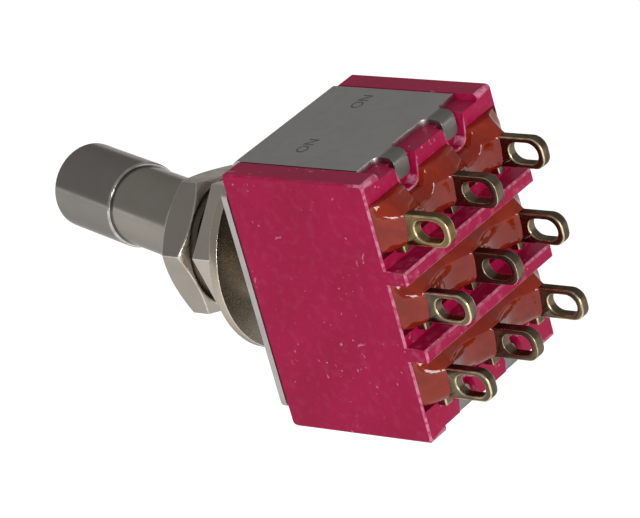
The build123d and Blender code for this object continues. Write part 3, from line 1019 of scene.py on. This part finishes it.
@dataclass
class ThreadTree:
    """Geometry Nodes tree that winds a screw thread on a cylinder about the Y axis.

    Args:
        steps_round: Faces round the cylinder.
        rows: Rows of faces along it.
        flank: Shares of half a turn between which the thread's side rises.
        seam: Distance in millimetres under which the ends of a turn are joined.
    """

    steps_round: int = 96
    rows: int = 170
    flank: tuple[float, float] = (0.08, 0.92)
    seam: float = 0.001

    def _tree(self) -> bpy.types.NodeTree:
        """Builds the tree.

        Returns:
            The node tree, with named inputs for the thread's sizes and material.
        """
        tree = bpy.data.node_groups.new("Screw Thread", "GeometryNodeTree")
        for label in ("Radius", "Depth", "Pitch", "Start", "Length", "Lead-in"):
            tree.interface.new_socket(label, in_out="INPUT", socket_type="NodeSocketFloat")
        tree.interface.new_socket("Material", in_out="INPUT", socket_type="NodeSocketMaterial")
        tree.interface.new_socket("Geometry", in_out="OUTPUT", socket_type="NodeSocketGeometry")
        wires = Wiring(tree)
        given = wires.add("NodeGroupInput").outputs
        grid = wires.add("GeometryNodeMeshGrid", {
            "Size X": 1.0, "Size Y": 1.0,
            "Vertices X": self.steps_round + 1, "Vertices Y": self.rows + 1,
        })
        flat = wires.add("GeometryNodeInputPosition").outputs[0]
        place = wires.add("ShaderNodeSeparateXYZ", {0: flat}).outputs
        turn = wires.math("ADD", place[0], 0.5)
        along = wires.math("MULTIPLY", wires.math("ADD", place[1], 0.5), given["Length"])
        turns = wires.math("SUBTRACT", wires.math("DIVIDE", along, given["Pitch"]), turn)
        saw = wires.math("MULTIPLY", wires.math("FRACT", turns), 2.0)
        wave = wires.math("ABSOLUTE", wires.math("SUBTRACT", saw, 1.0))
        cut = wires.math("MULTIPLY", wires.ramp(wave, self.flank), given["Depth"])
        cut_radius = wires.math("SUBTRACT", given["Radius"], cut)
        to_end = wires.math("SUBTRACT", given["Length"], along)
        end_radius = wires.math("SUBTRACT", given["Radius"], given["Lead-in"])
        radius = wires.math("MINIMUM", cut_radius, wires.math("ADD", end_radius, to_end))
        angle = wires.math("MULTIPLY", turn, 2 * pi)
        point = wires.add("ShaderNodeCombineXYZ", {
            0: wires.math("MULTIPLY", radius, wires.math("COSINE", angle)),
            1: wires.math("MULTIPLY", wires.math("ADD", given["Start"], along), -1.0),
            2: wires.math("MULTIPLY", radius, wires.math("SINE", angle)),
        })
        moved = wires.add("GeometryNodeSetPosition", {
            "Geometry": grid.outputs[0], "Position": point.outputs[0],
        })
        closed = wires.add("GeometryNodeMergeByDistance", {
            "Geometry": moved.outputs[0], "Distance": self.seam * MM,
        })
        real = wires.add("GeometryNodeRealizeInstances", {"Geometry": closed.outputs[0]})
        dressed = wires.add("GeometryNodeSetMaterial", {
            "Geometry": real.outputs[0], "Material": given["Material"],
        })
        wires.add("NodeGroupOutput", {0: dressed.outputs[0]})
        return tree

    def bake(self, material: bpy.types.Material, sizes: dict[str, float]) -> bpy.types.Mesh:
        """Runs the tree once and returns its mesh.

        Args:
            material: The thread's material.
            sizes: The thread's sizes in millimetres, by the names of the tree's inputs.

        Returns:
            The thread's surface, open at both ends.
        """
        tree = self._tree()
        seed = place_object("thread_seed", bpy.data.meshes.new("thread_seed"))
        wind = seed.modifiers.new("thread", "NODES")
        wind.node_group = tree
        sockets = {s.name: s.identifier for s in tree.interface.items_tree if s.in_out == "INPUT"}
        for label, value in sizes.items():
            wind[sockets[label]] = value * MM
        wind[sockets["Material"]] = material
        mesh = evaluated(seed)
        bpy.data.objects.remove(seed)
        return mesh


@dataclass
class Mounting:
    """The threaded bushing with its locating ring, lock washer and two nuts.

    Args:
        paint: The materials.
        ease: Eased edge of the nuts, in millimetres.
        thin_ease: Eased edge of the ring and the washer.
        thread_radius: Radius of the bushing's outer wall.
        thread_depth: Depth of the thread.
        pitch: Pitch of the thread.
        lead_in: Chamfer at the thread's end.
        wall_depth: Depth under the outer wall down to which faces belong to it.
        shoulder: Distance from the frame's plate past which the outer wall begins.
        end_slope: Slope along Y at which a face counts as an end, not as a wall.
        crease: Angle in degrees over which the thread's edges are sharp.
    """

    paint: Paint
    ease: float = 0.06
    thin_ease: float = 0.05
    thread_radius: float = 3.175
    thread_depth: float = 0.30
    pitch: float = 0.635
    lead_in: float = 0.25
    wall_depth: float = 0.3
    shoulder: float = 0.01
    end_slope: float = 0.9
    crease: float = 35.0

    def build(self) -> None:
        """Builds every piece on the bushing."""
        # The ring and washer take the brown-tinted nickel, whose tint is a painted reflection.
        for node, width, finish in (("locating_ring", self.thin_ease, "ring_nickel_with_painted_reflection"),
                                    ("lock_washer", self.thin_ease, "ring_nickel_with_painted_reflection"),
                                    # The inner nut takes the lighter nickel, painted light.
                                    ("inner_nut", self.ease, "inner_nickel_painted_light"),
                                    ("outer_nut", self.ease, "nickel_plate")):
            new_piece(f"{node}_plated", node, eased_copy(node, width), self.paint[finish])
        self.thread_bushing(self.paint["nickel_plate"])

    def thread_bushing(self, nickel: bpy.types.Material) -> None:
        """Winds the thread round a copy of the bushing, in place of its plain outer wall.

        Args:
            nickel: The bushing's material.
        """
        shape = merged_copy("bushing")
        core = (self.thread_radius - self.wall_depth) * MM
        wall = [face for face in shape.faces
                if all(Vector((v.co.x, v.co.z)).length > core
                       and v.co.y < -self.shoulder * MM for v in face.verts)
                and abs(face.normal.y) < self.end_slope]
        bmesh.ops.delete(shape, geom=wall, context="FACES_ONLY")
        thread = ThreadTree().bake(nickel, {
            "Radius": self.thread_radius, "Depth": self.thread_depth, "Pitch": self.pitch,
            "Start": 0.0, "Length": -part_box("bushing")[0].y / MM, "Lead-in": self.lead_in,
        })
        shape.from_mesh(thread)
        bmesh.ops.recalc_face_normals(shape, faces=shape.faces)
        new_piece("bushing_threaded", "bushing",
                  finished("bushing_threaded", shape, self.crease), nickel)


@dataclass
class Handle:
    """The locking sleeve with its cap, and the lever inside.

    Args:
        paint: The materials.
        ease: Eased edge of the sleeve and cap, in millimetres.
        inner_ease: Eased edge of the lever's own pieces.
        pull: Travel of the sleeve in millimetres. Not used.
        pull_axis: Direction in which the sleeve is pulled, at rest. Not used.
    """

    paint: Paint
    ease: float = 0.05
    inner_ease: float = 0.03
    pull: float = 2.0
    pull_axis: tuple[float, float, float] = (-0.28919888, -0.95726904, 0.0)

    def build(self) -> None:
        """Builds the sleeve and cap, and the lever's own pieces."""
        for node, finish in (("lock_sleeve", "sleeve_nickel"), ("lock_cap", "lever_nickel")):
            new_piece(f"{node}_plated", node, eased_copy(node, self.ease), self.paint[finish])
        for node in ("lever", "lever_pin", "stem_collar"):
            new_piece(f"{node}_turned", node, eased_copy(node, self.inner_ease),
                      self.paint["turned_steel"])
        shortening_spring("lock_spring", self.paint["spring_wire"])


@dataclass
class Contacts:
    """Carriage, plungers, springs, rockers and lugs of the three poles.

    Args:
        paint: The materials.
        lug_ease: Eased edge of the lugs, in millimetres.
        gilt: The lug whose flash is still bright.
        press: Travel of the plungers in millimetres. Not used.
        press_axis: Direction in which a plunger is pressed. Not used.
    """

    paint: Paint
    lug_ease: float = 0.09
    gilt: tuple[Pole, Station] = (Pole.TOP, Station.NEAR)
    press: float = 0.3
    press_axis: tuple[float, float, float] = (0.0, -1.0, 0.0)

    def build(self) -> None:
        """Dresses the inner pieces and eases the lugs."""
        dress_nodes(self.paint["natural_nylon"], "carriage")
        for pole in Pole:
            dress_nodes(self.paint["natural_nylon"], f"plunger_{pole.value}")
            shortening_spring(f"plunger_spring_{pole.value}", self.paint["spring_wire"])
            dress_nodes(self.paint["contact_brass"], f"rocker_{pole.value}")
            for station in Station:
                self.lug(pole, station)

    def lug(self, pole: Pole, station: Station) -> None:
        """Eases and plates one lug.

        Args:
            pole: Its pole.
            station: Its place along the throw.
        """
        node = f"terminal_{pole.value}_{station.value}"
        finish = "gilt_brass" if (pole, station) == self.gilt else "tarnished_brass"
        new_piece(f"{node}_lug", node, eased_copy(node, self.lug_ease, segments=3),
                  self.paint[finish])


@dataclass
class Seal:
    """Poured potting of one pole.

    Across the strip its surface rises steeply from the trough, passes the lug nearly level and
    falls toward the rib. Along the strip its crest climbs each lug and sinks in between.

    Args:
        paint: The materials.
        pole: The pole.
        trough_depth: Depth of the trough that the potting fills, in millimetres.
        climb: Height of the crest at a lug above the trough's rim.
        inner_fall: Fall of the crest per millimetre toward the next lug.
        end_fall: Whole fall of the crest from the +X lug to the strip's end.
        end_bend: Power of that fall, over 1 for one that is slow at first.
        far_fall: Whole fall of the crest from the -X lug to the strip's end.
        far_bend: Power of that fall, under 1 for one that is fast at first.
        softness: Length over which a valley is rounded.
        face_reach: Reach of the steep side across the strip.
        face_share: Share of the height that the steep side climbs.
        most_face: Most of the strip's width that the steep side takes.
        level_reach: How far past the lugs' plane the surface stays level.
        rib_share: Share of the height that is left at the rib.
        lip_round: Rounding where the potting meets the case's wall.
        shrink: How far the steep side draws back where the crest is low.
        meniscus: Height of the meniscus at a lug.
        meniscus_reach: Length over which the meniscus fades.
        half_blade: Half a lug's thickness.
        half_width: Half a lug's width.
        ripple: Height of the surface's unevenness.
        ripple_scale: Ripples per millimetre.
        notch_floor: Distance from the middle plane to a claw notch's floor, less its margin.
        notch_half: Half the width that a notch takes.
        notch_flank: Width over which the potting's edge turns round a notch.
        columns: Faces along the strip.
        even: Share of the columns' places that is evenly spaced, and not dense at the ends.
        face_rows: Faces over the steep side.
        top_rows: Faces over the level part.
        lip_rows: Faces over the last rounding.
        crease: Angle in degrees over which edges are sharp.
    """

    paint: Paint
    pole: Pole
    trough_depth: float = 0.50
    climb: float = 1.22
    inner_fall: float = 0.36
    end_fall: float = 0.92
    end_bend: float = 1.5
    far_fall: float = 1.08
    far_bend: float = 0.5
    softness: float = 0.30
    face_reach: float = 0.95
    face_share: float = 0.93
    most_face: float = 0.4
    level_reach: float = 0.9
    rib_share: float = 0.62
    lip_round: float = 0.14
    shrink: float = 0.40
    meniscus: float = 0.10
    meniscus_reach: float = 0.1
    half_blade: float = 0.325
    half_width: float = 0.975
    ripple: float = 0.035
    ripple_scale: float = 0.9
    notch_floor: float = 6.00
    notch_half: float = 1.02
    notch_flank: float = 0.45
    columns: int = 190
    even: float = 0.65
    face_rows: int = 14
    top_rows: int = 30
    lip_rows: int = 7
    crease: float = 50.0

    def __post_init__(self) -> None:
        """Reads the places of the potting's box and lugs from the frame."""
        low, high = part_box(f"seal_{self.pole.value}")
        self.start, self.end = low.x / MM, high.x / MM
        self.foot = low.y / MM
        self.low_edge, self.high_edge = low.z / MM, high.z / MM
        lugs = [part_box(f"terminal_{self.pole.value}_{station.value}") for station in Station]
        self.lugs = [(a.x + b.x) / 2 / MM for a, b in lugs]
        self.level = (lugs[0][0].z + lugs[0][1].z) / 2 / MM
        self.notches = [(a + b) / 2 for a, b in zip(self.lugs, self.lugs[1:])]

    def crest(self, x: float) -> float:
        """Height of the crest above the trough's rim.

        Args:
            x: Place along the strip, in millimetres.

        Returns:
            The height in millimetres.
        """
        total = 0.0
        for lug in self.lugs:
            beyond = max(abs(x - lug) - self.half_blade, 0.0)
            fall = self.inner_fall * beyond
            if lug * x > 0 and abs(x) > abs(lug):
                passed = beyond / (self.end - max(self.lugs) - self.half_blade)
                fall = (self.end_fall * passed ** self.end_bend if lug > 0
                        else self.far_fall * passed ** self.far_bend)
            total += exp((self.climb - fall) / self.softness)
        return self.softness * natural_log(total)

    def edges(self, x: float) -> tuple[float, float]:
        """Edges of the strip, drawn in round the claw notches.

        Args:
            x: Place along the strip, in millimetres.

        Returns:
            The lowest and the highest Z in millimetres.
        """
        near = min(abs(x - notch) for notch in self.notches)
        pull = clamped((self.notch_half - near) / self.notch_flank)
        pull = pull * pull * (3.0 - 2.0 * pull)
        low = self.low_edge + self.shrink * (1.0 - self.crest(x) / self.climb)
        low += max(-self.notch_floor - low, 0.0) * pull
        high = self.high_edge - max(self.high_edge - self.notch_floor, 0.0) * pull
        return low, high

    def shares(self) -> list[tuple[Strip, float]]:
        """The rows across the strip.

        Returns:
            The part that each row belongs to and its share of it.
        """
        face = [(Strip.FACE, row / self.face_rows) for row in range(self.face_rows)]
        top = [(Strip.TOP, row / self.top_rows) for row in range(self.top_rows)]
        lip = [(Strip.LIP, row / self.lip_rows) for row in range(self.lip_rows + 1)]
        return face + top + lip

    def profile(self, x: float, part: Strip, share: float) -> tuple[float, float]:
        """One point of the cross-section.

        Args:
            x: Place along the strip.
            part: The part of the cross-section.
            share: Share of that part that is passed.

        Returns:
            Z in millimetres, and the height there as a share of the crest's.
        """
        low, high = self.edges(x)
        reach = min(self.face_reach, self.most_face * (high - low))
        turn = share * pi / 2
        if part is Strip.FACE:
            return low + reach * (1.0 - cos(turn)), self.face_share * sin(turn)
        top_end = high - self.lip_round
        top_start = low + reach
        z = (top_end + self.lip_round * sin(turn) if part is Strip.LIP
             else top_start + share * (top_end - top_start))
        fall_start = min(self.level + self.level_reach, top_start + 0.5 * (top_end - top_start))
        rise = clamped((z - top_start) / (fall_start - top_start))
        fall = clamped((z - fall_start) / (high - fall_start))
        height = self.face_share + (1.0 - self.face_share) * sin(rise * pi / 2)
        height -= (1.0 - self.rib_share) * 0.5 * (1.0 - cos(fall * pi))
        return z, height * cos(turn) if part is Strip.LIP else height

    def point(self, x: float, part: Strip, share: float) -> Vector:
        """One point of the poured surface.

        Args:
            x: Place along the strip.
            part: The part of the cross-section.
            share: Share of that part that is passed.

        Returns:
            The point in millimetres.
        """
        z, height = self.profile(x, part, share)
        to_end = min(x - self.start, self.end - x) / (2 * self.lip_round)
        end_round = sqrt(1.0 - (1.0 - min(to_end, 1.0)) ** 2)
        beside = min(Vector((max(abs(x - lug) - self.half_blade, 0.0),
                             max(abs(z - self.level) - self.half_width, 0.0))).length
                     for lug in self.lugs)
        wave = noise.noise(Vector((x * self.ripple_scale, z * self.ripple_scale, self.level)),
                           noise_basis="PERLIN_ORIGINAL")
        above = (self.crest(x) + self.meniscus * exp(-beside / self.meniscus_reach)
                 + self.ripple * wave) * end_round
        return Vector((x, self.foot + (self.trough_depth + above) * height, z))

    def build(self) -> None:
        """Builds the potting as one closed mesh."""
        node = f"seal_{self.pole.value}"
        rows = self.shares()
        span = self.end - self.start
        shape = bmesh.new()
        grid = []
        for column in range(self.columns + 1):
            share = column / self.columns
            spread = 0.5 * (1.0 - cos(share * pi))
            x = self.start + span * ((1.0 - self.even) * spread + self.even * share)
            grid.append([shape.verts.new(self.point(x, *row) * MM) for row in rows])
        for first, second in zip(grid, grid[1:]):
            for row in range(len(rows) - 1):
                shape.faces.new((first[row], first[row + 1], second[row + 1], second[row]))
            shape.faces.new((first[-1], first[0], second[0], second[-1]))
        shape.faces.new(grid[0])
        shape.faces.new(reversed(grid[-1]))
        bmesh.ops.recalc_face_normals(shape, faces=shape.faces)
        new_piece(f"{node}_poured", node, finished(f"{node}_poured", shape, self.crease),
                  self.paint["potting_resin"])


# ---- camera and studio -------------------------------------------------------------------
@dataclass
class View:
    """The camera, placed by the direction that it looks from.

    Args:
        azimuth: Angle in degrees from +X toward +Y.
        elevation: Angle in degrees above the XY plane.
        roll: Turn of the camera about its own axis, in degrees.
        distance: Distance to the target, in metres.
        target: The point looked at, in millimetres.
        lens: Focal length in millimetres.
        sensor: Width of the sensor in millimetres.
        reach: Nearest and farthest distance seen, in metres.
    """

    azimuth: float = 43.7326
    elevation: float = 24.4177
    roll: float = 15.8185
    distance: float = 0.249977
    target: tuple[float, float, float] = (0.15688, 0.22103, -0.58625)
    lens: float = 241.58
    sensor: float = 36.0
    reach: tuple[float, float] = (0.01, 20.0)

    def build(self) -> None:
        """Adds the camera and makes it the scene's."""
        camera = bpy.data.cameras.new("camera")
        camera.lens = self.lens
        camera.sensor_width = self.sensor
        camera.clip_start, camera.clip_end = self.reach
        roll = radians(self.roll)
        back = direction(self.azimuth, self.elevation)
        level = Vector((0, 0, 1)).cross(back).normalized()
        upright = back.cross(level)
        right = level * cos(roll) - upright * sin(roll)
        up = level * sin(roll) + upright * cos(roll)
        place = Matrix.Translation(Vector(self.target) * MM + back * self.distance)
        holder = place_object("camera", camera)
        holder.matrix_world = place @ Matrix((right, up, back)).transposed().to_4x4()
        bpy.context.scene.camera = holder


@dataclass(frozen=True)
class Softbox:
    """A square area lamp.

    Args:
        name: The lamp's name.
        azimuth: Angle in degrees from +X toward +Y of its place.
        elevation: Angle in degrees above the floor.
        distance: Distance in metres from the object.
        size: Side in metres.
        power: Power in watts.
        mirrored: Whether metal and gloss show the lamp itself.
    """

    name: str
    azimuth: float
    elevation: float
    distance: float
    size: float
    power: float
    mirrored: bool = False

    def build(self) -> None:
        """Adds the lamp, aimed at the origin."""
        lamp = bpy.data.lights.new(self.name, "AREA")
        lamp.size = self.size
        lamp.energy = self.power
        holder = place_object(self.name, lamp)
        holder.location = direction(self.azimuth, self.elevation) * self.distance
        holder.rotation_euler = holder.location.to_track_quat("Z", "Y").to_euler()
        holder.visible_glossy = self.mirrored


@dataclass
class Studio:
    """Pale floor, soft world and lamps.

    Args:
        floor_drop: Depth of the floor under the object's lowest point, in metres.
        floor_size: Side of the floor in metres.
        floor_tone: The floor's own colour.
        floor_rough: The floor's roughness.
        floor_glow: How much white is added where the camera sees the floor, and in gloss.
        ambient: Strength of the world's light overhead.
        horizon: Strength of the world's light at and below the horizon.
        lit_rise: Sines of the rise over which the world's light grows dimmer.
        shiny_rise: The same for what gloss shows of the world.
        lamps: The lamps.
    """

    floor_drop: float = 0.03
    floor_size: float = 3.0
    floor_tone: Tone = Tone(0.85, 0.85, 0.85)
    floor_rough: float = 0.9
    floor_glow: tuple[float, float] = (0.7, 0.5)
    ambient: float = 0.33
    horizon: float = 0.75
    lit_rise: tuple[float, float] = (0.0, 0.18)
    shiny_rise: tuple[float, float] = (0.02, 0.07)
    lamps: tuple[Softbox, ...] = (
        Softbox("key", azimuth=30.0, elevation=6.0, distance=0.6, size=0.35, power=1.5),
        Softbox("sky", azimuth=150.0, elevation=60.0, distance=0.8, size=0.6, power=0.4),
        Softbox("spark", azimuth=66.0, elevation=9.0, distance=0.5, size=0.14, power=0.85,
                mirrored=True),
    )

    def build(self) -> None:
        """Sets up the world, the floor and the lamps."""
        bpy.context.scene.view_settings.view_transform = "Standard"
        self.world()
        self.floor()
        for lamp in self.lamps:
            lamp.build()

    def white_rays(self, wires: Wiring) -> tuple[bpy.types.NodeSocket, bpy.types.NodeSocket]:
        """Masks of the rays that see the white background.

        Args:
            wires: The world's or the floor's wiring.

        Returns:
            The mask of those that see it straight, and of those that see it by reflection.
        """
        path = wires.add("ShaderNodeLightPath").outputs
        seen = wires.math("MAXIMUM", path["Is Camera Ray"], path["Is Transmission Ray"])
        return seen, path["Is Glossy Ray"]

    def world(self) -> None:
        """A world that is white to the camera, and dimmer overhead for light and gloss."""
        world = bpy.data.worlds.new("studio")
        bpy.context.scene.world = world
        wires = blank(world)
        sky = wires.add("ShaderNodeTexCoord").outputs["Generated"]
        height = wires.add("ShaderNodeSeparateXYZ", {0: sky}).outputs[2]
        lit = wires.ramp(height, self.lit_rise, (self.horizon, self.ambient))
        shiny = wires.ramp(height, self.shiny_rise, (1.0, self.ambient))
        seen, glossy = self.white_rays(wires)
        strength = wires.math(
            "ADD", wires.math("MULTIPLY", lit, wires.math("SUBTRACT", 1.0, glossy)),
            wires.math("MULTIPLY", shiny, glossy))
        background = wires.add("ShaderNodeBackground", {
            0: (1.0, 1.0, 1.0, 1.0), 1: wires.math("MAXIMUM", strength, seen),
        })
        wires.add("ShaderNodeOutputWorld", {0: background.outputs[0]})

    def floor(self) -> None:
        """A pale floor that reads white to the camera and in gloss, with the object's shadow."""
        half = self.floor_size / 2
        z = CAD_BOX[0][2] - self.floor_drop
        mesh = bpy.data.meshes.new("floor")
        mesh.from_pydata([(-half, -half, z), (half, -half, z), (half, half, z), (-half, half, z)],
                         [], [(0, 1, 2, 3)])
        surface = Surface("pale_floor")
        glows = [surface.wires.math("MULTIPLY", rays, share)
                 for rays, share in zip(self.white_rays(surface.wires), self.floor_glow)]
        surface.put(Base_Color=self.floor_tone.rgba(), Roughness=self.floor_rough,
                    Emission_Color=(1.0, 1.0, 1.0, 1.0),
                    Emission_Strength=surface.wires.math("MAXIMUM", *glows))
        mesh.materials.append(surface.material)
        place_object("floor", mesh)


def main() -> None:
    """Builds the camera and the studio, then the switch's pieces in order."""
    logging.basicConfig(level=logging.INFO, format="%(name)s: %(message)s")
    paint = Paint()
    View().build()
    Studio().build()
    Housing(paint).build()
    Mounting(paint).build()
    Handle(paint).build()
    Contacts(paint).build()
    for pole in Pole:
        Seal(paint, pole).build()


if __name__ == "__main__":
    main()
